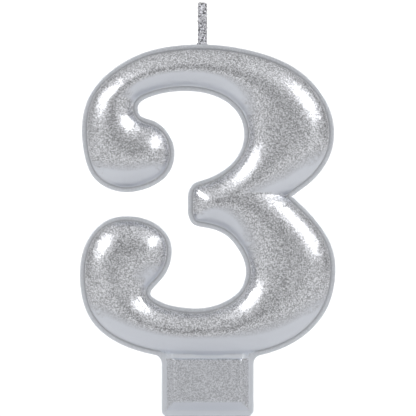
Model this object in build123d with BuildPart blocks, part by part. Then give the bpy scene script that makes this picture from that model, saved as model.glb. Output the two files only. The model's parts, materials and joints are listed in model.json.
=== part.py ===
from build123d import *
import math
import os

# Number birthday candle: a wax numeral 3 on a cake tab, with a silver skin and a twisted wick.
# Frame, in millimetres: the origin is at the middle of the tab's foot, X to the right of the numeral,
# Y from its front to its back, Z up. The front and the back are alike.

# ---------------------------------------------------------------- overall sizes
numeral_width = 51.0
numeral_height = 63.0
body_depth = 12.6

# ---------------------------------------------------------------- numeral
rim_width = 0.9  # flat flange that runs round the outline
rim_thickness = 3.0
crown_reach = 7.6  # distance from the flange at which the crown is flat
crown_lead = 0.35  # how far up its curve the crown starts, as a steep wall

# ---------------------------------------------------------------- tab
tab_length = 11.4
tab_width = 18.4
tab_foot_radius = 1.2
tab_neck_radius = 1.8
panel_height = 1.8  # raised panel, above the flange
panel_bevel = 1.6
panel_foot = 1.1  # flange left below the panel

# ---------------------------------------------------------------- skin
skin_thickness = 0.2

# ---------------------------------------------------------------- wick
wick_length = 8.5  # exposed
wick_depth = 7.4  # hidden in the bore
ply_diameter = 0.54
ply_circle_radius = 0.4
ply_lay = 2.7  # height of one full turn
primer_cover = 0.11  # wax over the plies
wick_coat_thickness = 0.2
coat_tip_radius = 0.3
seal_thickness = 0.22
seal_under_wick = 0.3
seal_sink = 0.03  # how far the seal stops below the skin
coat_gap = 0.02  # between the skin and the foot of the wick's coat
collar_height = 0.5
collar_flare = 0.35

# ---------------------------------------------------------------- outline of the numeral
# Points on the outline as drawn at 51 x 63, with x from the tab's middle and z from its foot.
DRAWN_WIDTH = 51.0
DRAWN_HEIGHT = 63.0
DRAWN_FOOT = 11.4
# from the waist, over the top, round the upper ball and its notch, and down to the nose
UPPER_OUTLINE = [
    (17.0, 44.0), (18.4, 45.05), (20.3, 46.5), (23.0, 49.4), (24.9, 53.3), (25.3, 57.5),
    (24.1, 62.3), (21.1, 66.7), (16.4, 70.3), (9.9, 72.8), (2.0, 74.2), (-6.0, 74.1),
    (-13.0, 72.6), (-18.9, 69.4), (-23.3, 64.8), (-25.1, 58.6), (-24.8, 53.0), (-22.7, 47.6),
    (-19.5, 45.4), (-16.0, 44.8), (-11.75, 45.7), (-8.0, 48.3), (-6.6, 52.4), (-8.0, 56.9),
    (-11.2, 59.2), (-13.3, 60.1), (-13.9, 61.9), (-11.3, 63.9), (-7.5, 64.8), (-2.5, 64.9),
    (2.2, 63.7), (5.8, 60.9), (7.3, 56.5), (6.2, 52.5), (3.3, 49.3), (-1.0, 47.2),
    (-3.2, 46.2), (-3.96, 44.3),
]
# from the nose, round the lower notch and ball, along the bottom and up to the waist
LOWER_OUTLINE = [
    (-3.96, 40.6), (-3.0, 38.5), (-0.7, 37.75), (3.0, 36.6), (6.2, 33.3), (7.65, 28.7),
    (6.5, 25.4), (3.6, 23.0), (-1.2, 21.6), (-6.1, 21.9), (-10.3, 23.4), (-11.4, 24.6),
    (-10.5, 26.0), (-8.6, 28.2), (-7.2, 32.0), (-7.9, 36.1), (-10.9, 38.8), (-15.2, 39.95),
    (-19.6, 39.4), (-23.1, 36.7), (-25.1, 32.3), (-25.4, 25.5), (-23.6, 19.7), (-19.4, 15.5),
    (-14.0, 13.1), (-7.0, 11.7), (0.2, 11.4), (7.0, 11.65), (14.0, 13.2), (19.8, 16.5),
    (23.7, 21.2), (25.45, 27.0), (24.9, 33.8), (21.9, 39.0), (17.0, 44.0),
]
# where each bowl's own edge runs on inside the other one
UPPER_HIDDEN_EDGE = [(-0.7, 37.75), (4.0, 38.5), (8.5, 40.1), (13.0, 42.0), (17.0, 44.0)]
LOWER_HIDDEN_EDGE = [(17.0, 44.0), (13.0, 46.9), (8.5, 48.6), (3.3, 49.3)]
# middle line of each stroke
UPPER_SPINE = [
    (-15.9, 45.95), (-16.0, 47.0), (-16.1, 49.2), (-16.3, 52.5), (-17.2, 56.4), (-18.8, 60.0),
    (-19.1, 63.5), (-16.8, 66.9), (-12.0, 69.0), (-6.0, 69.7), (0.5, 69.3), (6.5, 67.4),
    (11.5, 64.0), (14.8, 59.5), (15.6, 55.0), (14.0, 50.5), (10.5, 47.0), (6.0, 44.8),
]
UPPER_BALL_TIP = (-15.9, 45.7)
LOWER_SPINE = [
    (-2.9, 42.4), (-1.8, 42.4), (0.5, 42.6), (4.0, 42.6), (8.0, 42.0), (12.0, 39.8),
    (15.5, 35.5), (16.6, 30.0), (15.6, 24.5), (12.0, 19.8), (6.0, 17.2), (0.0, 16.4),
    (-5.0, 16.7), (-9.6, 17.7), (-13.2, 19.4), (-15.9, 21.2), (-17.2, 24.4), (-17.7, 28.0),
    (-16.9, 31.5), (-16.2, 34.5), (-15.7, 37.0), (-15.5, 38.7),
]
NOSE_TIP = (-3.06, 42.4)
LOWER_BALL_TIP = (-15.4, 39.05)
WICK_PLACE = (-1.03, 70.0)

# how much the upper stroke shrinks where it is buried in the nose
BURIED_SIDE = 1.2
BURIED_TOP = 0.8
TAB_OVERLAP = 2.5  # how far the tab runs up inside the numeral
COLLAR_HOLLOW = 0.3  # where the hollow of the wick's collar passes, as a share of its width and height
WAIST_SHARE = 1.3  # how far the waist's corner draws in, for each unit of inset
CROWN_SHARES = (0.06, 0.2, 0.45, 0.72)  # where a section's points lie, from its wall to its crest
LEAST_SQUARENESS = 0.35  # an edge that a ray meets more slantwise counts as this square
OUTLINE_SAMPLES = 300
HIDDEN_SAMPLES = 30
SAME_PLACE = 0.01  # lengths that differ by less are equal
CUT_CLEARANCE = 1.0  # how far a cutting bar runs past what it cuts


# ---------------------------------------------------------------- placing and measuring
def place(point):
    """Return a drawn point at the numeral's real size."""
    x = point[0] * numeral_width / DRAWN_WIDTH
    z = tab_length + (point[1] - DRAWN_FOOT) * numeral_height / DRAWN_HEIGHT
    return (x, z)


def sampled(points, count=OUTLINE_SAMPLES):
    """Return count points along the smooth curve through the drawn points."""
    curve = Edge.make_spline([Vector(*place(p)) for p in points])
    stops = [curve.position_at(i / count) for i in range(count)]
    return [(p.X, p.Y) for p in stops]


def nearest(line, point):
    """Return the index of the line's point that is nearest to a drawn point."""
    target = place(point)
    return min(range(len(line)), key=lambda i: math.dist(line[i], target))


upper_line = sampled(UPPER_OUTLINE)
lower_line = sampled(LOWER_OUTLINE)
upper_ring = upper_line + lower_line[: nearest(lower_line, UPPER_HIDDEN_EDGE[0])]
upper_ring += sampled(UPPER_HIDDEN_EDGE, HIDDEN_SAMPLES)
lower_ring = sampled(LOWER_HIDDEN_EDGE, HIDDEN_SAMPLES)
lower_ring += upper_line[nearest(upper_line, LOWER_HIDDEN_EDGE[-1]) :] + lower_line


def edge_distance(origin, ray, ring, inset):
    """Return how far the ring is from the origin along the ray, less the inset square to the ring."""
    found = None
    for start, end in zip(ring, ring[1:] + ring[:1]):
        along = (end[0] - start[0], end[1] - start[1])
        away = (start[0] - origin[0], start[1] - origin[1])
        size = math.hypot(*along)
        cross = ray[1] * along[0] - ray[0] * along[1]
        if cross == 0:
            continue
        reach = (away[1] * along[0] - away[0] * along[1]) / cross
        share = (ray[0] * away[1] - ray[1] * away[0]) / cross
        if reach > 0 and 0 <= share <= 1 and (found is None or reach < found[0]):
            found = (reach, abs(cross) / size)
    reach, squareness = found
    return reach - inset / max(squareness, LEAST_SQUARENESS)


def crown_height(distance):
    """Return the half depth of the numeral at a distance inside its flange."""
    turn = min((distance + crown_lead) / crown_reach, 1.0)
    rise = (body_depth - rim_thickness) / 2
    return rim_thickness / 2 + rise * math.sqrt(1 - (1 - turn) ** 2)


# ---------------------------------------------------------------- numeral
def stroke_section(spine, index, ring, tips, inset):
    """Return the plane, half width and half depth of a stroke where its spine passes a point."""
    points = [place(p) for p in spine]
    before = points[max(index - 1, 0)]
    after = points[min(index + 1, len(points) - 1)]
    span = math.dist(before, after)
    across = ((before[1] - after[1]) / span, (after[0] - before[0]) / span)
    origin = points[index]
    left = edge_distance(origin, across, ring, rim_width + inset)
    right = edge_distance(origin, (-across[0], -across[1]), ring, rim_width + inset)
    shift = (left - right) / 2
    middle = (origin[0] + across[0] * shift, origin[1] + across[1] * shift)
    half_width = (left + right) / 2
    nearest_edge = min([half_width] + [math.dist(origin, place(tip)) for tip in tips])
    plane = Plane(
        origin=(middle[0], 0, middle[1]),
        x_dir=(across[0], 0, across[1]),
        z_dir=(-across[1], 0, across[0]),
    )
    return plane, half_width, crown_height(nearest_edge) - inset


def crown_points(half_width, wall, half_depth, side, face):
    """Return the points of one quarter of a stroke's section, from its wall to its crest."""
    points = [(side * half_width, face * wall)]
    rise = crown_height(half_width) - crown_height(0)
    for share in CROWN_SHARES:
        height = (crown_height(share * half_width) - crown_height(0)) / rise
        depth = wall + height * (half_depth - wall)
        points.append((side * half_width * (1 - share), face * depth))
    points.append((0, face * half_depth))
    return points


def stroke(spine, ring, tips, inset, buried=False):
    """Return one crowned stroke of the numeral, lofted through sections square to its spine."""
    with BuildPart() as made:
        for index in range(len(spine)):
            plane, half_width, half_depth = stroke_section(spine, index, ring, tips, inset)
            if buried and index == len(spine) - 1:
                half_width -= BURIED_SIDE
                half_depth -= BURIED_TOP
            wall = crown_height(0) - inset
            with BuildSketch(plane):
                with BuildLine():
                    Line((-half_width, wall), (-half_width, -wall))
                    Spline(*crown_points(half_width, wall, half_depth, -1, -1))
                    Spline(*crown_points(half_width, wall, half_depth, 1, -1)[::-1])
                    Line((half_width, -wall), (half_width, wall))
                    Spline(*crown_points(half_width, wall, half_depth, 1, 1))
                    Spline(*crown_points(half_width, wall, half_depth, -1, 1)[::-1])
                make_face()
        loft()
    return made.part


def drawn_in(points, inset):
    """Return drawn points at real size, each moved square to its curve, into the numeral."""
    curve = Edge.make_spline([Vector(*place(p)) for p in points])
    moved = []
    for point in points:
        spot = Vector(*place(point))
        run = curve.tangent_at(curve.param_at_point(spot))
        moved.append((spot.X - run.Y * inset, spot.Y + run.X * inset))
    return moved


def numeral_outline(inset):
    """Return the flat outline of the numeral, drawn in by the inset."""
    upper = drawn_in(UPPER_OUTLINE, inset)
    lower = drawn_in(LOWER_OUTLINE, inset)
    waist = place(UPPER_OUTLINE[0])
    upper[0] = lower[-1] = (waist[0] - WAIST_SHARE * inset, waist[1])
    with BuildSketch(Plane.XZ) as flat:
        with BuildLine():
            Spline(*upper)
            Line(upper[-1], lower[0])
            Spline(*lower)
        make_face()
    return flat.sketch


def tab_body(inset):
    """Return the cake tab: a flange plate with a bevelled panel raised on both faces."""
    half_width = tab_width / 2 - inset
    top = tab_length + TAB_OVERLAP
    panel_width = 2 * (half_width - rim_width)
    panel_length = top - panel_foot - 2 * inset
    panel_middle = (0, (panel_foot + top) / 2)
    with BuildPart() as made:
        with BuildSketch(Plane.XZ):
            with Locations((0, top / 2)):
                Rectangle(2 * half_width, top)
        extrude(amount=rim_thickness / 2 - inset, both=True)
        fillet(made.edges().filter_by(Axis.Y).group_by(Axis.Z)[0], tab_foot_radius - inset)
        for side in (1, -1):
            face = Plane.XZ.offset(side * (rim_thickness / 2 - inset))
            with BuildSketch(face):
                with Locations(panel_middle):
                    Rectangle(panel_width, panel_length)
            with BuildSketch(face.offset(side * panel_height)):
                with Locations(panel_middle):
                    Rectangle(panel_width - 2 * panel_bevel, panel_length - 2 * panel_bevel)
            loft()
    return made.part


def is_neck(edge, half_width):
    """Tell whether an edge is a corner where the side of the tab runs into the numeral."""
    box = edge.bounding_box()
    upright = max(box.size.X, box.size.Z) < SAME_PLACE
    beside = abs(abs(edge.center().X) - half_width) < SAME_PLACE
    return upright and beside and edge.center().Z > tab_length / 2


def candle_body(inset):
    """Return the whole moulded body, drawn in by the inset everywhere but at its foot."""
    with BuildPart() as plate:
        extrude(numeral_outline(inset), amount=rim_thickness / 2 - inset, both=True)
        add(tab_body(inset))
        necks = [e for e in plate.edges() if is_neck(e, tab_width / 2 - inset)]
        fillet(necks, tab_neck_radius + inset)
    with BuildPart() as made:
        add(stroke(UPPER_SPINE, upper_ring, [UPPER_BALL_TIP], inset, buried=True))
        add(stroke(LOWER_SPINE, lower_ring, [NOSE_TIP, LOWER_BALL_TIP], inset))
        add(plate.part)
    return made.part


# ---------------------------------------------------------------- wick levels
wick_x, wick_start = place(WICK_PLACE)
mouth = wick_start + edge_distance((wick_x, wick_start), (0, 1), upper_ring, 0)
wick_foot = mouth - wick_depth
wick_top = mouth + wick_length
cord_top = wick_top - wick_coat_thickness
cord_radius = ply_circle_radius + ply_diameter / 2 + primer_cover
coat_radius = cord_radius + wick_coat_thickness
bore_radius = cord_radius + seal_thickness
bore_foot = wick_foot - seal_under_wick


def round_bar(radius, low, high):
    """Return a plain round bar on the wick's axis."""
    with BuildPart() as bar:
        with BuildSketch(Plane.XY.offset(low)):
            with Locations((wick_x, 0)):
                Circle(radius)
        extrude(amount=high - low)
    return bar.part


def wick_ply(turn):
    """Return one twisted ply of the wick, turned about the wick's axis by an angle in degrees."""
    height = cord_top - wick_foot
    spare = ply_diameter
    with BuildPart() as ply:
        with BuildLine(Plane((wick_x, 0, wick_foot - spare))):
            path = Helix(pitch=ply_lay, height=height + 2 * spare, radius=ply_circle_radius)
        with BuildSketch(Plane(origin=path @ 0, z_dir=path % 0)):
            Circle(ply_diameter / 2)
        sweep(path=path, is_frenet=True)
        add(round_bar(cord_radius, wick_foot, cord_top), mode=Mode.INTERSECT)
    return ply.part.rotate(Axis((wick_x, 0, 0), (0, 0, 1)), turn)


# ---------------------------------------------------------------- pieces
outer_body = candle_body(0)
inner_body = candle_body(skin_thickness)
plies = [wick_ply(turn) for turn in (0, 120, 240)]

with BuildPart() as wax_casting:
    add(inner_body)
    add(round_bar(bore_radius, bore_foot, mouth + CUT_CLEARANCE), mode=Mode.SUBTRACT)

with BuildPart() as metallic_coat:
    add(outer_body)
    add(round_bar(cord_radius, mouth - collar_height, mouth + CUT_CLEARANCE), mode=Mode.SUBTRACT)
    add(inner_body, mode=Mode.SUBTRACT)

with BuildPart() as wick_seal:
    add(round_bar(bore_radius, bore_foot, mouth - skin_thickness - seal_sink))
    add(round_bar(cord_radius, wick_foot, mouth), mode=Mode.SUBTRACT)

with BuildPart() as wick_primer_wax:
    add(round_bar(cord_radius, wick_foot, cord_top))
    for ply in plies:
        add(ply, mode=Mode.SUBTRACT)

with BuildPart() as wick_silver_coat:
    coat_foot = mouth + coat_gap
    collar_top = coat_foot + collar_height
    side = wick_x + coat_radius
    cut = coat_tip_radius * (1 - math.sqrt(0.5))
    with BuildSketch(Plane.XZ):
        with BuildLine():
            Polyline((side, collar_top), (side, wick_top - coat_tip_radius))
            ThreePointArc(
                (side, wick_top - coat_tip_radius),
                (side - cut, wick_top - cut),
                (side - coat_tip_radius, wick_top),
            )
            Polyline(
                (side - coat_tip_radius, wick_top),
                (wick_x, wick_top),
                (wick_x, coat_foot),
                (side + collar_flare, coat_foot),
            )
            ThreePointArc(
                (side + collar_flare, coat_foot),
                (side + collar_flare * COLLAR_HOLLOW, coat_foot + collar_height * COLLAR_HOLLOW),
                (side, collar_top),
            )
        make_face()
    revolve(axis=Axis((wick_x, 0, 0), (0, 0, 1)))
    add(round_bar(cord_radius, mouth - collar_height, cord_top), mode=Mode.SUBTRACT)

# ---------------------------------------------------------------- writing
pieces = {
    "wax_casting": wax_casting.part,
    "metallic_coat": metallic_coat.part,
    "wick_seal": wick_seal.part,
    "wick_primer_wax": wick_primer_wax.part,
    "wick_silver_coat": wick_silver_coat.part,
}
for number, ply in enumerate(plies, start=1):
    pieces[f"wick_ply_{number}"] = ply
os.makedirs("parts", exist_ok=True)
for label, piece in pieces.items():
    piece.label = label
    export_step(piece, f"parts/{label}.step")
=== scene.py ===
"""Looks of a number birthday candle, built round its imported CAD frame.

The silver body, the wick and the materials are made here. The scene is in metres, in the frame's own axes:
X to the right of the numeral, Y from its front to its back, Z up, with the origin at the tab's foot. The
values of the body and the wick are in millimetres, as their classes say.
"""

import json
import logging
import math
from dataclasses import dataclass, field, replace
from enum import Enum
from typing import Any, Iterable, Union

import bmesh
import bpy
import numpy as np
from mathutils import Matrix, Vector, geometry
from mathutils.kdtree import KDTree

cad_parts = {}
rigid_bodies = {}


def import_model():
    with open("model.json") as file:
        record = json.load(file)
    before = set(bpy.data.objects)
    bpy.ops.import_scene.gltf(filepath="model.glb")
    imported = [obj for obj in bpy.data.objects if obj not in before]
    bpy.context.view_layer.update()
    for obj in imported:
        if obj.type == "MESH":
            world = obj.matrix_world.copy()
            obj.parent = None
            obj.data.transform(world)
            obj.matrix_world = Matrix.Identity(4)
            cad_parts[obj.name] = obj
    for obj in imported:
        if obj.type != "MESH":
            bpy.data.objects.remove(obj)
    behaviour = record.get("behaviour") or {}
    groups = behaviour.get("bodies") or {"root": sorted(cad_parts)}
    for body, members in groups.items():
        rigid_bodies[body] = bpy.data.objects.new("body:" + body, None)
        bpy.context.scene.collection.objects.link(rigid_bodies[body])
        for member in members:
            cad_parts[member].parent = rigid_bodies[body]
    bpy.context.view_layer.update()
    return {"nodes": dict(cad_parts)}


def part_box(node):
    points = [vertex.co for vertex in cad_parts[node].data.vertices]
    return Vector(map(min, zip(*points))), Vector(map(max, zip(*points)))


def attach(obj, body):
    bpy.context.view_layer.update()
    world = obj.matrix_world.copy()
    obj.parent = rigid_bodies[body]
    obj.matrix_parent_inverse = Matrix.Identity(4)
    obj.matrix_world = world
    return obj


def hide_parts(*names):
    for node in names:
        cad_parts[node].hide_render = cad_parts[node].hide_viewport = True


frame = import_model()
MM = 0.001
SMOOTH_ANGLE = math.radians(38)
WELD = 0.001 * MM
ROW_SPACING = 0.866  # the height of an even-sided triangle whose sides are 1
GLINT_STOPS = ((0.3, 0.0), (0.66, 1.0))  # a steep ramp: place and grey
log = logging.getLogger("candle")


# ---------------------------------------------------------------- shader building
Input = Union["Wire", float, tuple]


class Wire:
    """A node's output socket that takes part in Python arithmetic."""

    def __init__(self, paint: "Paint", socket: bpy.types.NodeSocket) -> None:
        """Wraps a socket of a paint's node tree."""
        self.paint = paint
        self.socket = socket

    def _maths(self, operation: str, *values: Input) -> "Wire":
        """Returns the result of a Math node."""
        return self.paint.node("ShaderNodeMath", {"operation": operation}, dict(enumerate(values)))

    def __add__(self, other: Input) -> "Wire":
        """Adds."""
        return self._maths("ADD", self, other)

    __radd__ = __add__

    def __mul__(self, other: Input) -> "Wire":
        """Multiplies."""
        return self._maths("MULTIPLY", self, other)

    def __sub__(self, other: Input) -> "Wire":
        """Subtracts."""
        return self._maths("SUBTRACT", self, other)

    def __rsub__(self, other: Input) -> "Wire":
        """Subtracts from a number."""
        return self._maths("SUBTRACT", other, self)


class Paint:
    """A procedural material, whose nodes are all added by one method."""

    def __init__(self, name: str, **constants: Any) -> None:
        """Makes a material.

        Args:
            name: the material's name.
            constants: values for the surface shader's own sockets, with _ for a space.
        """
        self.material = bpy.data.materials.new(name)
        self.material.use_nodes = True
        self.tree = self.material.node_tree
        self.surface = self.tree.nodes["Principled BSDF"]
        for socket, value in constants.items():
            self.surface.inputs[socket.replace("_", " ")].default_value = value

    def node(
        self, kind: str, settings: dict | None = None, inputs: dict | None = None, output: Any = 0
    ) -> Wire:
        """Adds any node.

        Args:
            kind: the node's type.
            settings: the node's own properties, with "stops" for a ramp's.
            inputs: values or wires of its sockets, by name or number.
            output: the name or number of the socket that is returned.

        Returns:
            The chosen output.
        """
        made = self.tree.nodes.new(kind)
        for key, value in (settings or {}).items():
            if key == "stops":
                ramp = made.color_ramp.elements
                while len(ramp) < len(value):
                    ramp.new(0.5)
                for stop, (place, grey) in zip(ramp, value):
                    stop.position = place
                    stop.color = (grey, grey, grey, 1.0)
            else:
                setattr(made, key, value)
        for key, value in (inputs or {}).items():
            if isinstance(value, Wire):
                self.tree.links.new(value.socket, made.inputs[key])
            else:
                made.inputs[key].default_value = value
        return Wire(self, made.outputs[output])

    def wear(self, socket: str, value: Wire) -> None:
        """Drives one of the surface shader's sockets."""
        self.tree.links.new(value.socket, self.surface.inputs[socket])

    def place(self) -> Wire:
        """Returns the Object coordinates."""
        return self.node("ShaderNodeTexCoord", output="Object")

    def attribute(self, name: str) -> Wire:
        """Returns a value that the mesh's points carry."""
        return self.node("ShaderNodeAttribute", {"attribute_name": name}, output="Fac")

    def tone(self, share: Wire, dark: Input, light: Input) -> Wire:
        """Returns a colour between two, by a share from 0 to 1."""
        ends = [colour if isinstance(colour, Wire) else (*colour, 1.0) for colour in (dark, light)]
        return self.node("ShaderNodeMix", {"data_type": "RGBA"}, {0: share, 6: ends[0], 7: ends[1]}, output=2)

    def noise(self, size: float, detail: float = 2.0, place: Wire | None = None) -> Wire:
        """Returns a soft noise whose blots are about a size across, in metres."""
        return self.node(
            "ShaderNodeTexNoise", {}, {"Vector": place or self.place(), "Scale": 1.0 / size, "Detail": detail}
        )

    def cells(self, size: float, output: str) -> Wire:
        """Returns the colours of random cells about a size across, in metres, or how far in each one is."""
        return self.node("ShaderNodeTexVoronoi", {}, {"Vector": self.place(), "Scale": 1.0 / size}, output)

    def glint(self, colours: Wire, channel: int) -> Wire:
        """Returns shares that are mostly 0 or 1, seldom between, from one channel of random colours."""
        level = self.node("ShaderNodeSeparateColor", {}, {0: colours}, channel)
        return self.node("ShaderNodeValToRGB", {"stops": GLINT_STOPS}, {0: level})

    def vectors(self, operation: str, inputs: dict) -> Wire:
        """Returns the result of a Vector Math node."""
        return self.node("ShaderNodeVectorMath", {"operation": operation}, inputs)

    def bump(self, height: Wire, distance: float) -> Wire:
        """Returns a normal raised by a height, in metres of distance."""
        return self.node("ShaderNodeBump", {}, {"Height": height, "Distance": distance})


class Finish(Enum):
    """Names of the record's material slots."""

    CASTING = "paraffin_wax"
    LACQUER = "silver_lacquer"
    SEAL = "seal_wax"
    PRIMER = "primer_wax"
    GLITTER = "silver_glitter"
    COTTON = "cotton"


@dataclass(frozen=True)
class FlakeLacquer:
    """Satin silver lacquer with fine metal flake, plainer on the flange than on the crowned front."""

    dark: tuple = (0.32, 0.323, 0.34)
    light: tuple = (0.93, 0.94, 0.975)
    # the plain colour, also a painted bounce light on the faces that look down
    plain_and_bounce_light: tuple = (0.745, 0.77, 0.825)
    flange: tuple = (0.87, 0.9, 0.95)
    flange_share: float = 0.8
    # painted shade in the creases, and a painted dark reflection line
    painted_dark: tuple = (0.3, 0.3, 0.31)
    painted_dark_share: float = 0.55
    flake: float = 0.13 * MM
    flake_height: float = 0.002 * MM
    flake_tilt: float = 0.03
    mottle: float = 6.0 * MM
    mottle_share: float = 0.08
    roughness: float = 0.27
    flake_roughness: float = 0.08
    mottle_roughness: float = 0.06
    flange_roughness: float = 0.08

    def material(self) -> bpy.types.Material:
        """Returns the lacquer's material."""
        paint = Paint("flake_lacquer", Metallic=1.0, Specular_IOR_Level=0.5)
        plain, crease, grain = (paint.attribute(name) for name in ("plainness", "crease", "grain"))
        flakes = paint.cells(self.flake, "Color")
        speck = paint.glint(flakes, 0)
        mottle = paint.noise(self.mottle, 3.0)
        blend = speck * (1.0 - self.mottle_share) + mottle * self.mottle_share
        # painted sparkle on faces that look up or forward, a paler painted bounce light on faces that look
        # down
        colour = paint.tone(grain, self.plain_and_bounce_light, paint.tone(blend, self.dark, self.light))
        colour = paint.tone(plain * self.flange_share, colour, self.flange)
        # painted shade in the creases, and a painted dark reflection line between the sparkle and the bounce
        # light
        paint.wear("Base Color", paint.tone(crease * self.painted_dark_share, colour, self.painted_dark))
        rough = self.roughness + speck * self.flake_roughness + mottle * self.mottle_roughness
        paint.wear("Roughness", rough + plain * self.flange_roughness)
        tilt = paint.vectors("SUBTRACT", {0: flakes, 1: (0.5, 0.5, 0.5)})
        tilt = paint.vectors("SCALE", {0: tilt, "Scale": grain * self.flake_tilt})
        normal = paint.vectors("ADD", {0: paint.bump(speck * grain, self.flake_height), 1: tilt})
        paint.wear("Normal", paint.vectors("NORMALIZE", {0: normal}))
        return paint.material


@dataclass(frozen=True)
class GlitterCoat:
    """Coarse silver granules over the wick."""

    dark: tuple = (0.04, 0.04, 0.045)
    light: tuple = (0.93, 0.93, 0.98)
    granule: float = 0.17 * MM
    granule_height: float = 0.06 * MM
    blot: float = 0.9 * MM
    blot_share: float = 0.1
    roughness: float = 0.3
    granule_roughness: float = 0.25

    def material(self) -> bpy.types.Material:
        """Returns the granular coat's material."""
        paint = Paint("glitter_coat", Metallic=0.85)
        speck = paint.glint(paint.cells(self.granule, "Color"), 1)
        blend = speck * (1.0 - self.blot_share) + paint.noise(self.blot) * self.blot_share
        paint.wear("Base Color", paint.tone(blend, self.dark, self.light))
        paint.wear("Roughness", self.roughness + speck * self.granule_roughness)
        paint.wear("Normal", paint.bump(1.0 - paint.cells(self.granule, "Distance"), self.granule_height))
        return paint.material


@dataclass(frozen=True)
class BareWax:
    """Cast or poured wax, bare of lacquer."""

    name: str
    dark: tuple
    light: tuple
    cloud: float = 3.0 * MM
    cloud_height: float = 2.0
    pit: float = 0.35 * MM
    pit_height: float = 0.02 * MM
    roughness: float = 0.42
    pit_roughness: float = 0.2
    light_depth: float = 1.2 * MM

    def material(self) -> bpy.types.Material:
        """Returns the wax's material."""
        paint = Paint(
            self.name,
            Subsurface_Weight=0.25,
            Subsurface_Radius=(1.0, 0.9, 0.8),
            Subsurface_Scale=self.light_depth,
        )
        clouds = paint.noise(self.cloud, 4.0)
        pits = paint.noise(self.pit)
        paint.wear("Base Color", paint.tone(clouds, self.dark, self.light))
        paint.wear("Roughness", self.roughness + pits * self.pit_roughness)
        paint.wear("Normal", paint.bump(pits + clouds * self.cloud_height, self.pit_height))
        return paint.material


@dataclass(frozen=True)
class SpunCotton:
    """A ply of cotton fibres that run up the wick with a twist."""

    dark: tuple = (0.72, 0.69, 0.61)
    light: tuple = (0.93, 0.91, 0.86)
    fibre: float = 0.07 * MM
    fibre_height: float = 0.03 * MM
    fibre_stretch: tuple = (1.0, 1.0, 0.25)

    def material(self) -> bpy.types.Material:
        """Returns the cotton's material."""
        paint = Paint("spun_cotton", Roughness=0.85)
        stretched = paint.node(
            "ShaderNodeMapping", {}, {"Vector": paint.place(), "Scale": self.fibre_stretch}
        )
        fibres = paint.noise(self.fibre, 3.0, stretched)
        paint.wear("Base Color", paint.tone(fibres, self.dark, self.light))
        paint.wear("Normal", paint.bump(fibres, self.fibre_height))
        return paint.material


@dataclass(frozen=True)
class PaleStage:
    """The plain matt white of the floor and the sweep behind."""

    grey: float = 0.76
    cloud: float = 0.2
    cloud_lift: float = 0.02
    glow: float = 0.05

    def material(self) -> bpy.types.Material:
        """Returns the stage's material."""
        paint = Paint("pale_stage", Roughness=0.9, Emission_Color=(1, 1, 1, 1), Emission_Strength=self.glow)
        light = (self.grey + self.cloud_lift,) * 3
        paint.wear("Base Color", paint.tone(paint.noise(self.cloud), (self.grey,) * 3, light))
        return paint.material


# ---------------------------------------------------------------- mesh helpers
def deselect() -> None:
    """Leaves object mode with nothing selected."""
    if bpy.context.object is not None and bpy.context.object.mode != "OBJECT":
        bpy.ops.object.mode_set(mode="OBJECT")
    bpy.ops.object.select_all(action="DESELECT")


def take(piece: bpy.types.Object) -> None:
    """Makes a piece the only selected object, and the active one."""
    deselect()
    piece.select_set(True)
    bpy.context.view_layer.objects.active = piece


def settle(piece: bpy.types.Object) -> None:
    """Applies a piece's place, turn and scale to its mesh."""
    take(piece)
    bpy.ops.object.transform_apply(location=True, rotation=True, scale=True)


def apply_all(piece: bpy.types.Object) -> None:
    """Applies every modifier of a piece, in order."""
    take(piece)
    for modifier in list(piece.modifiers):
        bpy.ops.object.modifier_apply(modifier=modifier.name)


def face_out(piece: bpy.types.Object) -> None:
    """Merges a piece's doubles and turns its faces outwards."""
    take(piece)
    bpy.ops.object.mode_set(mode="EDIT")
    bpy.ops.mesh.select_all(action="SELECT")
    bpy.ops.mesh.remove_doubles(threshold=WELD)
    bpy.ops.mesh.normals_make_consistent(inside=False)
    bpy.ops.object.mode_set(mode="OBJECT")


def read(items: Any, label: str, width: int = 1) -> np.ndarray:
    """Returns a value of each of a mesh's items, in one row, where each value has a width."""
    values = np.empty(len(items) * width, np.float32)
    items.foreach_get(label, values)
    return values


def mark(mesh: bpy.types.Mesh, label: str, values: np.ndarray) -> None:
    """Writes a value on each of a mesh's points, for its material to read."""
    layer = mesh.attributes.get(label)
    if layer is None:
        layer = mesh.attributes.new(label, "FLOAT", "POINT")
    layer.data.foreach_set("value", values.astype(np.float32))


def finish_piece(piece: bpy.types.Object, material: bpy.types.Material, node: str) -> None:
    """Dresses a piece and puts it in the place of a CAD node.

    Args:
        piece: the piece.
        material: its material.
        node: the node that it stands for.
    """
    piece.data.materials.append(material)
    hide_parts(node)
    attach(piece, "root")
    log.info("piece %s: %d faces", piece.name, len(piece.data.polygons))


def spline_through(points: Iterable[tuple], step: float) -> np.ndarray:
    """Returns points along the natural cubic spline through given points.

    Args:
        points: the points it passes through.
        step: the rough distance between the returned points.

    Returns:
        An array of points, ends included.
    """
    knots = np.array(list(points), float)
    gaps = np.hypot(*np.diff(knots, axis=0).T)
    along = np.concatenate([[0.0], np.cumsum(gaps)])
    count = len(knots)
    system = np.zeros((count, count))
    right = np.zeros((count, 2))
    system[0, 0] = system[-1, -1] = 1.0
    for i in range(1, count - 1):
        system[i, i - 1 : i + 2] = gaps[i - 1], 2 * (gaps[i - 1] + gaps[i]), gaps[i]
        right[i] = 6 * ((knots[i + 1] - knots[i]) / gaps[i] - (knots[i] - knots[i - 1]) / gaps[i - 1])
    bend = np.linalg.solve(system, right)
    stops = np.linspace(0.0, along[-1], max(2, int(round(along[-1] / step)) + 1))
    span = np.clip(np.searchsorted(along, stops, side="right") - 1, 0, count - 2)
    size = gaps[span][:, None]
    before = (along[span + 1] - stops)[:, None]
    after = (stops - along[span])[:, None]
    low, high = bend[span], bend[span + 1]
    return (
        (low * before**3 + high * after**3) / (6 * size)
        + (knots[span] / size - low * size / 6) * before
        + (knots[span + 1] / size - high * size / 6) * after
    )


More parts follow.
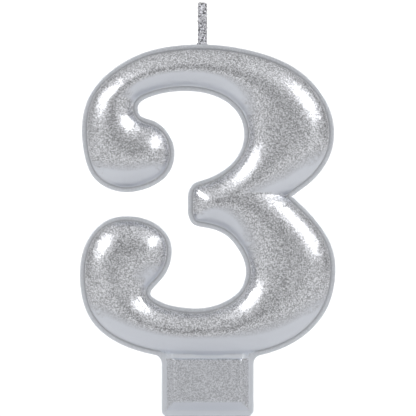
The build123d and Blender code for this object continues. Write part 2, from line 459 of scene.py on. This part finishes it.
def is_inside(points: np.ndarray, ring: np.ndarray) -> np.ndarray:
    """Tells which points a closed ring holds, by counting the ring's crossings to the right of each."""
    order = np.argsort(points[:, 1])
    levels = points[order, 1]
    held = np.zeros(len(points), bool)
    for start, end in zip(ring, np.roll(ring, -1, axis=0)):
        first, last = np.searchsorted(levels, sorted((start[1], end[1])))
        if first < last:
            rows = order[first:last]
            slope = (end[0] - start[0]) / (end[1] - start[1])
            held[rows] ^= points[rows, 0] < start[0] + (points[rows, 1] - start[1]) * slope
    return held


def distance_to(points: np.ndarray, ring: np.ndarray) -> np.ndarray:
    """Returns how far each point is inside a closed ring, less than 0 outside."""
    tree = KDTree(len(ring))
    for index, (x, z) in enumerate(ring):
        tree.insert((x, 0.0, z), index)
    tree.balance()
    nearest = np.array([tree.find((x, 0.0, z))[1] for x, z in points])
    gap = np.full(len(points), np.inf)
    for shift in (-1, 0):
        start = ring[(nearest + shift) % len(ring)]
        run = ring[(nearest + shift + 1) % len(ring)] - start
        away = points - start
        share = np.clip((away * run).sum(1) / ((run**2).sum(1) + 1e-12), 0.0, 1.0)
        gap = np.minimum(gap, np.hypot(*(away - share[:, None] * run).T))
    return np.where(is_inside(points, ring), gap, -gap)


def inward_of(ring: np.ndarray) -> np.ndarray:
    """Returns the direction to the inside at each point of a closed ring that runs against the clock."""
    run = np.roll(ring, -1, axis=0) - np.roll(ring, 1, axis=0)
    run /= np.hypot(*run.T)[:, None]
    return np.stack([-run[:, 1], run[:, 0]], 1)


def fill(ring: np.ndarray, inner: np.ndarray, merge: float = 0.02) -> tuple:
    """Fills a closed ring with triangles.

    Args:
        ring: the ring's points.
        inner: points inside it that the triangles run through.
        merge: how near two points are taken as one.

    Returns:
        The points and the triangles between them.
    """
    edges = [(i, (i + 1) % len(ring)) for i in range(len(ring))]
    flat = [Vector(point) for point in np.vstack([ring, inner])]
    points, _, faces, *_ = geometry.delaunay_2d_cdt(flat, edges, [], 1, merge)
    return np.array([tuple(point) for point in points]), np.array(faces)


def soften(height: np.ndarray, faces: np.ndarray, free: np.ndarray, rounds: int) -> np.ndarray:
    """Returns heights with the free ones relaxed towards their neighbours, a number of rounds over."""
    edges = np.vstack([faces[:, [0, 1]], faces[:, [1, 2]], faces[:, [2, 0]]])
    both = np.vstack([edges, edges[:, ::-1]])
    count = np.bincount(both[:, 0], minlength=len(height))
    for _ in range(rounds):
        total = np.bincount(both[:, 0], weights=height[both[:, 1]], minlength=len(height))
        height = np.where(free, height + 0.5 * (total / np.maximum(count, 1) - height), height)
    return height


def close_body(name: str, points: np.ndarray, faces: np.ndarray, height: np.ndarray) -> bpy.types.Object:
    """Closes a front and its mirror image into one body.

    Args:
        name: the body's name.
        points: places on the front, as x and z in millimetres.
        faces: triangles between them.
        height: the half depth at each.

    Returns:
        The body, whose points are the front's in order, then the back's.
    """
    front = np.stack([points[:, 0], -height, points[:, 1]], 1) * MM
    back = front * (1, -1, 1)
    mesh = bpy.data.meshes.new(name)
    triangles = np.vstack([faces, faces[:, ::-1] + len(points)])
    mesh.from_pydata(np.vstack([front, back]).tolist(), [], triangles.tolist())
    piece = bpy.data.objects.new(name, mesh)
    bpy.context.scene.collection.objects.link(piece)
    take(piece)
    bpy.ops.object.mode_set(mode="EDIT")
    bpy.ops.mesh.select_mode(type="EDGE")
    bpy.ops.mesh.select_all(action="DESELECT")
    bpy.ops.mesh.select_non_manifold(extend=False)
    bpy.ops.mesh.bridge_edge_loops()
    bpy.ops.object.mode_set(mode="OBJECT")
    return piece


# ---------------------------------------------------------------- the moulded body
UPPER_OUTLINE = [
    (17.0, 44.0), (18.4, 45.05), (20.3, 46.5), (23.0, 49.4), (24.9, 53.3), (25.3, 57.5),
    (24.1, 62.3), (21.1, 66.7), (16.4, 70.3), (9.9, 72.8), (2.0, 74.2), (-6.0, 74.1),
    (-13.0, 72.6), (-18.9, 69.4), (-23.3, 64.8), (-25.1, 58.6), (-24.8, 53.0), (-22.7, 47.6),
    (-19.5, 45.4), (-16.0, 44.8), (-11.75, 45.7), (-8.0, 48.3), (-6.6, 52.4), (-8.0, 56.9),
    (-11.2, 59.2), (-13.3, 60.1), (-13.9, 61.9), (-11.3, 63.9), (-7.5, 64.8), (-2.5, 64.9),
    (2.2, 63.7), (5.8, 60.9), (7.3, 56.5), (6.2, 52.5), (3.3, 49.3), (-1.0, 47.2),
    (-3.2, 46.2), (-3.96, 44.3),
]
LOWER_OUTLINE = [
    (-3.96, 40.6), (-3.0, 38.5), (-0.7, 37.75), (3.0, 36.6), (6.2, 33.3), (7.65, 28.7),
    (6.5, 25.4), (3.6, 23.0), (-1.2, 21.6), (-6.1, 21.9), (-10.3, 23.4), (-11.4, 24.6),
    (-10.5, 26.0), (-8.6, 28.2), (-7.2, 32.0), (-7.9, 36.1), (-10.9, 38.8), (-15.2, 39.95),
    (-19.6, 39.4), (-23.1, 36.7), (-25.1, 32.3), (-25.4, 25.5), (-23.6, 19.7), (-19.4, 15.5),
    (-14.0, 13.1), (-7.0, 11.7), (0.2, 11.4), (7.0, 11.65), (14.0, 13.2), (19.8, 16.5),
    (23.7, 21.2), (25.45, 27.0), (24.9, 33.8), (21.9, 39.0), (17.0, 44.0),
]
UPPER_HIDDEN_EDGE = [(-0.7, 37.75), (4.0, 38.5), (8.5, 40.1), (13.0, 42.0), (17.0, 44.0)]
LOWER_HIDDEN_EDGE = [(17.0, 44.0), (13.0, 46.9), (8.5, 48.6), (3.3, 49.3)]


@dataclass
class MouldedBody:
    """The numeral with its flange, crowned strokes and bevelled cake tab. Sizes are in millimetres."""

    # the flange, the crown and its ridges
    half_depth: float = 6.3
    rim_width: float = 0.9
    rim_half: float = 1.5
    edge_round: float = 0.22
    crown_reach: float = 7.6
    crown_lead: float = 0.35
    cove: float = 0.16
    nose_steps: int = 10
    ridge_softening: int = 7
    ridge_inset: float = 0.9
    # places that are softened more: x, z and reach, with the number of rounds
    smoothed_places: dict = field(default_factory=lambda: {
        (-0.8, 42.4, 4.6): 6,
        (-1.5, 42.4, 2.2): 4,
        (-16.8, 60.0, 4.5): 14,
        (-14.6, 23.6, 4.5): 14,
    })
    smoothed_inset: float = 0.35
    # the sharp fold between the bowls
    fold_start: float = 5.5
    fold_level: float = 44.5
    fold_reach: float = 3.0
    fold_width: float = 0.8
    fold_spare: float = 0.5
    # the tab and its panel
    tab_half_width: float = 9.2
    tab_rise: float = 3.0
    neck_radius: float = 1.8
    neck_steps: int = 8
    neck_share: float = 0.2
    neck_search: int = 40
    foot_radius: float = 1.2
    foot_steps: int = 7
    panel_half_width: float = 8.3
    panel_foot: float = 1.15
    panel_top: float = 11.3
    panel_height: float = 1.8
    panel_bevel: float = 1.6
    panel_brow: float = 0.75
    panel_step: float = 0.74
    panel_under: float = 0.6
    # the skin and the wax that shows at the foot
    skin: float = 0.2
    foot_recess: float = 0.4
    foot_facing: float = -0.9
    level_slack: float = 0.01
    core_clearance: float = 0.6
    # where the lacquer is plain, where shade is painted in its creases, and where its flake is coarse with
    # painted sparkle, facing up, or plain with a painted bounce light, facing down
    plain_inset: float = 0.05
    plain_rise: float = 0.1
    rim_plainness: float = 0.72
    crease_shade_inset: float = 0.02
    crease_shade_width: float = 0.14
    tab_crease_shade: float = 0.3
    tab_crease_shade_width: float = 0.12
    painted_sparkle_from: float = -0.38
    painted_sparkle_full: float = -0.16
    painted_reflection_line: float = 0.35
    tab_flake: float = 0.6
    plain_flake: float = 0.25
    # the mesh: spacings, insets of its rings of points, and how far a point may stray from its ring
    along: float = 0.36
    grid: float = 0.36
    grid_inset: float = 0.2
    core_grid: float = 0.8
    ring_steps: tuple = (0.07, 0.16, 0.26, 0.55, 0.84, 0.9, 0.96, 1.02, 1.1, 1.22, 1.38, 1.6, 1.9, 2.2)
    ring_slack: float = 0.03
    core_slack: float = 0.02
    fan_turns: tuple = (math.radians(95), math.radians(265))
    fan_density: float = 10.0
    bend_gap: float = 0.08
    brow_rows: tuple = (-0.06, 0.06, 0.34, 0.44)
    brow_half_width: float = 8.2
    panel_point_inset: float = 0.35
    rings: dict = field(default_factory=dict)

    def numeral_ring(self) -> np.ndarray:
        """Returns the numeral's closed outline."""
        upper = spline_through(UPPER_OUTLINE, self.along)
        lower = spline_through(LOWER_OUTLINE, self.along)
        nose = np.linspace(upper[-1], lower[0], self.nose_steps + 1)[1:-1]
        return np.vstack([upper, nose, lower[:-1]])

    def stroke_rings(self) -> tuple:
        """Returns the closed edges of the upper bowl and of the lower one."""
        upper = spline_through(UPPER_OUTLINE, self.along)
        lower = spline_through(LOWER_OUTLINE, self.along)
        cut_low = int(np.argmin(np.hypot(*(lower - UPPER_HIDDEN_EDGE[0]).T)))
        cut_up = int(np.argmin(np.hypot(*(upper - LOWER_HIDDEN_EDGE[-1]).T)))
        over = spline_through(UPPER_HIDDEN_EDGE, self.along)[:-1]
        under = spline_through(LOWER_HIDDEN_EDGE, self.along)[:-1]
        return np.vstack([upper, lower[:cut_low], over]), np.vstack([under, upper[cut_up:], lower[:-1]])

    def neck(self, ring: np.ndarray, side: int) -> tuple:
        """Finds the fillet where the tab's side runs into the numeral.

        Args:
            ring: the numeral's outline.
            side: 1 for the right neck, -1 for the left.

        Returns:
            The index of the outline's point where the fillet starts, and the fillet's points, downwards.
        """
        middle = side * (self.tab_half_width + self.neck_radius)
        low, high = 0.0, ring[:, 1].max() * self.neck_share
        for _ in range(self.neck_search):
            level = (low + high) / 2
            gap = np.hypot(*(ring - (middle, level)).T).min()
            low, high = (level, high) if gap > self.neck_radius else (low, level)
        touch = int(np.argmin(np.hypot(*(ring - (middle, low)).T)))
        start = math.atan2(ring[touch, 1] - low, ring[touch, 0] - middle)
        end = math.pi if side > 0 else 0.0
        turns = np.linspace(start, end, self.neck_steps + 1)[1:]
        arc = np.stack([middle + self.neck_radius * np.cos(turns), low + self.neck_radius * np.sin(turns)], 1)
        return touch, arc

    def tab_path(self, left: np.ndarray, right: np.ndarray) -> np.ndarray:
        """Returns the tab's outline from the left neck's fillet, round the foot and up to the right one."""
        width, radius = self.tab_half_width, self.foot_radius
        corner = np.linspace(0.0, math.pi / 2, self.foot_steps + 1)
        down = np.arange(left[-1, 1] - self.along, radius, -self.along)
        across = np.arange(-width + radius + self.along, width - radius, self.along)
        near, far = radius * (1 - np.cos(corner)), radius * (1 - np.sin(corner))
        left_corner = np.stack([near - width, far], 1)
        right_corner = np.stack([width - far, near], 1)
        up = down[::-1]
        return np.vstack([
            left,
            np.stack([np.full(len(down), -width), down], 1),
            left_corner,
            np.stack([across, np.zeros(len(across))], 1),
            right_corner,
            np.stack([np.full(len(up), width), up], 1),
            right[::-1],
        ])

    def outline(self) -> np.ndarray:
        """Returns the whole body's closed outline, numeral and tab, against the clock."""
        ring = self.numeral_ring()
        left_touch, left = self.neck(ring, -1)
        right_touch, right = self.neck(ring, 1)
        return np.vstack([ring[: left_touch + 1], self.tab_path(left, right), ring[right_touch:]])

    def crown(self, inside: np.ndarray) -> np.ndarray:
        """Returns the half depth at distances inside the flange, with a small cove at its foot."""
        turn = np.clip((inside + self.crown_lead) / self.crown_reach, 0.0, 1.0)
        full = self.rim_half + (self.half_depth - self.rim_half) * np.sqrt(1 - (1 - turn) ** 2)
        rise = np.clip(inside / self.cove, 0.0, 1.0)
        return self.rim_half + (full - self.rim_half) * rise * rise * (3 - 2 * rise)

    def panel_inset(self, points: np.ndarray) -> np.ndarray:
        """Returns how far each point is inside the sides and the foot of the tab's panel."""
        return np.minimum(self.panel_half_width - np.abs(points[:, 0]), points[:, 1] - self.panel_foot)

    def panel(self, points: np.ndarray) -> np.ndarray:
        """Returns the half depth of the tab's raised panel."""
        side = self.panel_inset(points) / self.panel_bevel
        brow = 1 + (self.panel_top - points[:, 1]) / self.panel_brow
        slope = np.clip(np.minimum(side, np.maximum(brow, self.panel_step)), 0.0, 1.0)
        return self.rim_half + self.panel_height * slope

    def relief(self, points: np.ndarray, edge: np.ndarray) -> tuple:
        """Works out the front's relief.

        Args:
            points: places on the front, as x and z.
            edge: how far each one is inside the whole outline.

        Returns:
            The half depth, the flange's share and the share of painted shade in the creases at each point,
            and how far each one is inside the crown of the upper bowl and of the lower one.
        """
        upper, lower = (distance_to(points, ring) - self.rim_width for ring in self.rings["strokes"])
        numeral = distance_to(points, self.rings["numeral"]) - self.rim_width
        crowned = np.maximum(self.crown(np.minimum(upper, numeral)), self.crown(np.minimum(lower, numeral)))
        height = np.where(np.maximum(upper, lower) > 0, crowned, self.rim_half)
        by_tab = np.abs(points[:, 0]) < self.tab_half_width
        by_tab &= points[:, 1] < self.panel_top + self.tab_rise
        in_tab = by_tab & (numeral < self.panel_under)
        height = np.where(in_tab, np.maximum(height, self.panel(points)), height)
        rounded = np.clip(1 - edge / self.edge_round, 0.0, 1.0)
        height = height - self.edge_round * (1 - np.sqrt(np.clip(1 - rounded**2, 0.0, 1.0)))
        flat = height < self.rim_half + self.plain_rise
        flat |= points[:, 1] > self.panel_top + self.plain_rise
        plainness = np.where(by_tab, 1.0, self.rim_plainness)
        plain = np.where((numeral < self.plain_inset) & flat, plainness, 0.0)
        # painted shade along the creases at the crown's foot, weaker by the tab, and round the edges of the
        # tab's panel
        painted_dark = np.exp(-(((numeral - self.crease_shade_inset) / self.crease_shade_width) ** 2))
        painted_dark *= np.where(by_tab, self.tab_crease_shade, 1.0)
        panel_crease_shade = self.tab_crease_shade * np.exp(-((self.panel_inset(points) / self.tab_crease_shade_width) ** 2))
        painted_dark = np.maximum(painted_dark, np.where(in_tab, panel_crease_shade, 0.0))
        return height, plain, painted_dark, upper, lower

    def edge_points(self, outline: np.ndarray) -> list:
        """Returns rings of points along the inside of the outline, and fans round the notch of the waist."""
        waist = np.array(UPPER_OUTLINE[0])
        inward = inward_of(outline)
        rings = [(step, outline + inward * step) for step in self.ring_steps]
        for step in self.ring_steps:
            turns = np.linspace(*self.fan_turns, max(3, int(step * self.fan_density)))
            rings.append((step, waist + step * np.stack([np.cos(turns), np.sin(turns)], 1)))
        return [ring[np.abs(distance_to(ring, outline) - step) < self.ring_slack] for step, ring in rings]

    def grid_points(self, outline: np.ndarray) -> np.ndarray:
        """Returns an even grid of points further inside the outline."""
        low, high = outline.min(0), outline.max(0)
        columns = np.arange(low[0], high[0], self.grid)
        rows = np.arange(low[1], high[1], self.grid * ROW_SPACING)
        x, z = np.meshgrid(columns, rows)
        x[1::2] += self.grid / 2
        inner = np.stack([x.ravel(), z.ravel()], 1)
        return inner[distance_to(inner, outline) > self.ring_steps[-1] + self.grid_inset]

    def panel_points(self, outline: np.ndarray) -> np.ndarray:
        """Returns rows of points on both sides of each bend of the tab's panel."""
        found = []
        for bend in (0.0, self.panel_bevel):
            for inset in (bend - self.bend_gap, bend + self.bend_gap):
                half, foot = self.panel_half_width - inset, self.panel_foot + inset
                sides = np.arange(foot, self.panel_top, self.grid)
                found += [(end * half, level) for level in sides for end in (-1, 1)]
                found += [(place, foot) for place in np.arange(-half + self.grid, half, self.grid)]
        across = np.arange(-self.brow_half_width, self.panel_half_width, self.grid)
        for level in self.brow_rows:
            found += [(x, self.panel_top + level) for x in across]
        found = np.array(found)
        return found[distance_to(found, outline) > self.panel_point_inset]

    def build(self) -> bpy.types.Object:
        """Returns the silver body as one closed mesh."""
        outline = self.outline()
        self.rings = {"strokes": self.stroke_rings(), "numeral": self.numeral_ring()}
        inner = [*self.edge_points(outline), self.grid_points(outline), self.panel_points(outline)]
        points, faces = fill(outline, np.vstack(inner))
        height, plain, painted_dark, upper, lower = self.relief(points, distance_to(points, outline))
        inside = np.maximum(upper, lower)
        fold = np.abs(points[:, 1] - self.fold_level) < self.fold_reach
        fold &= points[:, 0] > self.fold_start
        fold &= np.abs(upper - lower) < self.fold_width
        fold &= np.minimum(upper, lower) > -self.fold_spare
        height = soften(height, faces, (inside > self.ridge_inset) & ~fold, self.ridge_softening)
        for (x, z, reach), rounds in self.smoothed_places.items():
            near = np.hypot(points[:, 0] - x, points[:, 1] - z) < reach
            height = soften(height, faces, near & (inside > self.smoothed_inset) & ~fold, rounds)
        log.info("body: %d points on each side", len(points))
        piece = close_body("silver_body", points, faces, height)
        mark(piece.data, "plainness", np.tile(plain, 2))
        mark(piece.data, "crease", np.tile(painted_dark, 2))
        face_out(piece)
        self.open_foot(piece)
        bpy.ops.object.shade_smooth_by_angle(angle=SMOOTH_ANGLE)
        self.mark_painted_light(piece)
        return piece

    def core(self) -> bpy.types.Object:
        """Returns the wax inside the skin as one closed mesh, bare at the foot."""
        outline = self.outline()
        ring = outline + inward_of(outline) * self.skin
        ring = ring[np.abs(distance_to(ring, outline) - self.skin) < self.core_slack]
        ring[:, 1] = np.where(ring[:, 1] < self.skin + self.level_slack, 0.0, ring[:, 1])
        low, high = ring.min(0), ring.max(0)
        columns = np.arange(low[0], high[0], self.core_grid)
        x, z = np.meshgrid(columns, np.arange(low[1], high[1], self.core_grid))
        inner = np.stack([x.ravel(), z.ravel()], 1)
        points, faces = fill(ring, inner[distance_to(inner, ring) > self.core_grid / 2])
        slim = replace(
            self,
            half_depth=self.half_depth - 2 * self.skin,
            rim_half=self.rim_half - self.skin,
            rim_width=self.rim_width + self.core_clearance,
            panel_half_width=self.panel_half_width - self.core_clearance,
            panel_foot=self.panel_foot + self.core_clearance,
            panel_top=self.panel_top - self.core_clearance,
        )
        height = slim.relief(points, distance_to(points, outline) + self.edge_round)[0]
        piece = close_body("wax_core", points, faces, height)
        face_out(piece)
        bpy.ops.object.shade_smooth_by_angle(angle=SMOOTH_ANGLE)
        return piece

    def open_foot(self, piece: bpy.types.Object) -> None:
        """Sinks the foot of the tab inside the skin, where the wax is bare."""
        take(piece)
        bpy.ops.object.mode_set(mode="EDIT")
        bpy.ops.mesh.select_mode(type="FACE")
        bpy.ops.mesh.select_all(action="DESELECT")
        form = bmesh.from_edit_mesh(piece.data)
        for face in form.faces:
            low = face.calc_center_median().z < self.level_slack * MM
            face.select_set(low and face.normal.z < self.foot_facing)
        bmesh.update_edit_mesh(piece.data)
        bpy.ops.mesh.dissolve_faces()
        bpy.ops.mesh.inset(thickness=self.skin * MM)
        bpy.ops.mesh.extrude_region_move(TRANSFORM_OT_translate={"value": (0, 0, self.foot_recess * MM)})
        bpy.ops.object.mode_set(mode="OBJECT")
        take(piece)

    def mark_painted_light(self, piece: bpy.types.Object) -> None:
        """Marks coarse flake with painted sparkle on faces that look up or forward and off the flange, and
        painted bounce light below.
        """
        mesh = piece.data
        plain, crease = (read(mesh.attributes[label].data, "value") for label in ("plainness", "crease"))
        upward = read(mesh.vertex_normals, "vector", 3)[2::3]
        levels = read(mesh.vertices, "co", 3)[2::3]
        share = np.clip((upward - self.painted_sparkle_from) / (self.painted_sparkle_full - self.painted_sparkle_from), 0.0, 1.0)
        # a painted dark reflection line where the painted sparkle gives way to the painted bounce light
        reflection_line = self.painted_reflection_line * 4 * share * (1 - share) * (1 - plain)
        mark(mesh, "crease", np.maximum(crease, reflection_line))
        share *= np.where(levels < self.panel_top * MM, self.tab_flake, 1.0)
        mark(mesh, "grain", share * (1 - (1 - self.plain_flake) * plain))

    def dress(self) -> None:
        """Builds the silver body and the wax in it, and gives them their finishes."""
        body = self.build()
        finish_piece(body, FlakeLacquer().material(), "metallic_coat")
        wax = BareWax("paraffin_casting", (0.80, 0.80, 0.77), (0.90, 0.90, 0.88))
        finish_piece(self.core(), wax.material(), "wax_casting")


@dataclass
class TwistedWick:
    """The visible wick: three twisted plies under a granular silver coat. Sizes are in millimetres."""

    radius: float = 0.99
    lay: float = 2.7
    lobe: float = 0.12
    granule: float = 0.3
    roughness: float = 0.11
    granule_level: float = 0.35
    foot_sink: float = 0.3
    flare: float = 0.28
    flare_height: float = 0.45
    tip: float = 0.5
    tip_narrowing: float = 0.82
    waver: float = 0.03
    waver_rate: float = 5.1
    waver_start: float = 1.3
    sides: int = 60
    step: float = 0.075

    def build(self) -> bpy.types.Object:
        """Returns the wick as one closed mesh."""
        low, high = (np.array(corner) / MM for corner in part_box("wick_silver_coat"))
        middle = (low[0] + high[0]) / 2
        foot, top = low[2] - self.foot_sink, high[2] - self.roughness / 2
        deselect()
        bpy.ops.mesh.primitive_circle_add(
            vertices=self.sides,
            radius=self.radius * MM,
            fill_type="NGON",
            location=(middle * MM, 0, foot * MM),
        )
        piece = bpy.context.object
        piece.name = "twisted_wick"
        settle(piece)
        bpy.ops.object.mode_set(mode="EDIT")
        bpy.ops.mesh.select_all(action="SELECT")
        for _ in range(int((top - foot) / self.step)):
            bpy.ops.mesh.extrude_region_move(TRANSFORM_OT_translate={"value": (0, 0, self.step * MM)})
        bpy.ops.object.mode_set(mode="OBJECT")
        self.shape(piece, middle, foot, top)
        face_out(piece)
        self.granulate(piece)
        take(piece)
        bpy.ops.object.shade_smooth()
        return piece

    def shape(self, piece: bpy.types.Object, middle: float, foot: float, top: float) -> None:
        """Gives the bar its three twisted lobes, its flared foot and its rounded, uneven tip.

        Args:
            piece: the bar.
            middle: where its axis is in x.
            foot: the level of its foot.
            top: the level of its tip.
        """
        for vertex in piece.data.vertices:
            x, y, z = vertex.co.x / MM - middle, vertex.co.y / MM, vertex.co.z / MM
            reach = math.hypot(x, y)
            if reach < 1e-6:
                continue
            turn = math.atan2(y, x) - 2 * math.pi * (z - foot) / self.lay
            size = self.radius - self.lobe * (0.5 - 0.5 * math.cos(3 * turn))
            above = z - foot - self.foot_sink
            if above < self.flare_height:
                size += self.flare * (1 - max(above, 0.0) / self.flare_height) ** 2
            below = top - z
            if below < self.tip:
                share = 1 - max(below, 0.0) / self.tip
                size *= math.sqrt(max(1 - self.tip_narrowing * share * share, 0.0))
            if above > self.flare_height:
                size += self.waver * math.sin(self.waver_rate * z + self.waver_start)
            vertex.co.x = (middle + x * size / reach) * MM
            vertex.co.y = y * size / reach * MM

    def granulate(self, piece: bpy.types.Object) -> None:
        """Roughens the wick with granules."""
        grains = bpy.data.textures.new("wick_granules", "VORONOI")
        grains.noise_scale = self.granule * MM
        grains.distance_metric = "DISTANCE"
        lump = piece.modifiers.new("granules", "DISPLACE")
        lump.texture = grains
        lump.texture_coords = "LOCAL"
        lump.strength = -self.roughness * MM
        lump.mid_level = self.granule_level
        apply_all(piece)

    def dress(self) -> None:
        """Builds the wick and gives it its silver granules."""
        finish_piece(self.build(), GlitterCoat().material(), "wick_silver_coat")


@dataclass
class HiddenPieces:
    """The carried-over CAD pieces: the seal, the primer wax and the plies."""

    seal: BareWax = BareWax("poured_seal", (0.76, 0.76, 0.73), (0.88, 0.88, 0.85), cloud=0.8 * MM)
    primer: BareWax = BareWax("primer_wax", (0.70, 0.69, 0.64), (0.86, 0.85, 0.80), cloud=0.5 * MM)
    plies: int = 3

    def dress(self) -> None:
        """Gives each carried-over node its own material."""
        cotton = SpunCotton().material()
        finishes = {"wick_seal": self.seal, "wick_primer_wax": self.primer}
        coats = {node: wax.material() for node, wax in finishes.items()}
        coats.update({f"wick_ply_{number + 1}": cotton for number in range(self.plies)})
        for node, material in coats.items():
            piece = frame["nodes"][node]
            for slot in piece.material_slots:
                slot.material = material
            log.info("node %s: %s", node, material.name)


# ---------------------------------------------------------------- the studio
@dataclass(frozen=True)
class SoftBox:
    """A soft box: where it hangs, what it faces, its width and height, in metres, and its watts."""

    name: str
    place: tuple
    aim: tuple
    size: tuple
    power: float

    def hang(self) -> None:
        """Hangs the soft box, unseen by the camera."""
        light = bpy.data.lights.new(self.name, "AREA")
        light.shape = "RECTANGLE"
        light.size, light.size_y = self.size
        light.energy = self.power
        lamp = bpy.data.objects.new(self.name, light)
        bpy.context.scene.collection.objects.link(lamp)
        lamp.location = self.place
        lamp.rotation_euler = (Vector(self.aim) - Vector(self.place)).to_track_quat("-Z", "Y").to_euler()
        lamp.visible_camera = False


@dataclass
class Studio:
    """A pale floor and sweep, soft boxes and the camera. Sizes are in metres."""

    view_width: float = 83.2 * MM
    view_middle: tuple = (0.08 * MM, 41.62 * MM)
    camera_away: float = 0.6
    floor_size: float = 3.0
    sweep_away: float = 0.55
    sweep_height: float = 0.5
    sweep_round: float = 0.12
    sweep_steps: int = 12
    world_grey: float = 0.41
    boxes: tuple = (
        SoftBox("left_box", (-0.66, -0.5, 0.5), (0, 0, 0.05), (0.15, 0.27), 2.5),
        SoftBox("right_box", (0.66, -0.5, 0.5), (0, 0, 0.05), (0.15, 0.27), 2.5),
        SoftBox("top_fill", (0, -0.3, 1.0), (0, -0.3, 0), (1.4, 1.5), 2.0),
        SoftBox("sweep_wash", (0, 0.12, 0.45), (0, 0.55, 0.36), (0.9, 0.25), 3.2),
    )

    def stage(self) -> None:
        """Makes the floor and the sweep behind it, in one bent sheet."""
        deselect()
        middle = self.sweep_away - self.floor_size / 2
        bpy.ops.mesh.primitive_plane_add(size=self.floor_size, location=(0, middle, 0))
        floor = bpy.context.object
        floor.name = "pale_floor"
        settle(floor)
        bpy.ops.object.mode_set(mode="EDIT")
        form = bmesh.from_edit_mesh(floor.data)
        for edge in form.edges:
            edge.select_set(all(vertex.co.y > self.sweep_away - 0.01 for vertex in edge.verts))
        bmesh.update_edit_mesh(floor.data)
        bpy.ops.mesh.select_mode(type="EDGE")
        bpy.ops.mesh.extrude_region_move(TRANSFORM_OT_translate={"value": (0, 0, self.sweep_height)})
        bpy.ops.object.mode_set(mode="OBJECT")
        bend = floor.modifiers.new("sweep", "BEVEL")
        bend.width = self.sweep_round
        bend.segments = self.sweep_steps
        apply_all(floor)
        bpy.ops.object.shade_smooth()
        floor.data.materials.append(PaleStage().material())

    def light(self) -> None:
        """Sets the world's grey and hangs the soft boxes."""
        world = bpy.data.worlds.new("studio")
        bpy.context.scene.world = world
        world.use_nodes = True
        world.node_tree.nodes["Background"].inputs["Color"].default_value = (self.world_grey,) * 3 + (1.0,)
        for box in self.boxes:
            box.hang()

    def camera(self) -> None:
        """Sets the camera square to the numeral's front."""
        lens = bpy.data.cameras.new("front_camera")
        lens.type = "ORTHO"
        lens.ortho_scale = self.view_width
        viewer = bpy.data.objects.new("front_camera", lens)
        bpy.context.scene.collection.objects.link(viewer)
        viewer.location = (self.view_middle[0], -self.camera_away, self.view_middle[1])
        viewer.rotation_euler = (math.pi / 2, 0, 0)
        bpy.context.scene.camera = viewer

    def build(self) -> None:
        """Makes the whole studio."""
        bpy.context.scene.view_settings.view_transform = "Standard"
        self.camera()
        self.stage()
        self.light()


def main() -> None:
    """Builds the studio, the body, the wick and the hidden pieces."""
    logging.basicConfig(level=logging.INFO, format="%(message)s")
    Studio().build()
    MouldedBody().dress()
    TwistedWick().dress()
    HiddenPieces().dress()


if __name__ == "__main__":
    main()
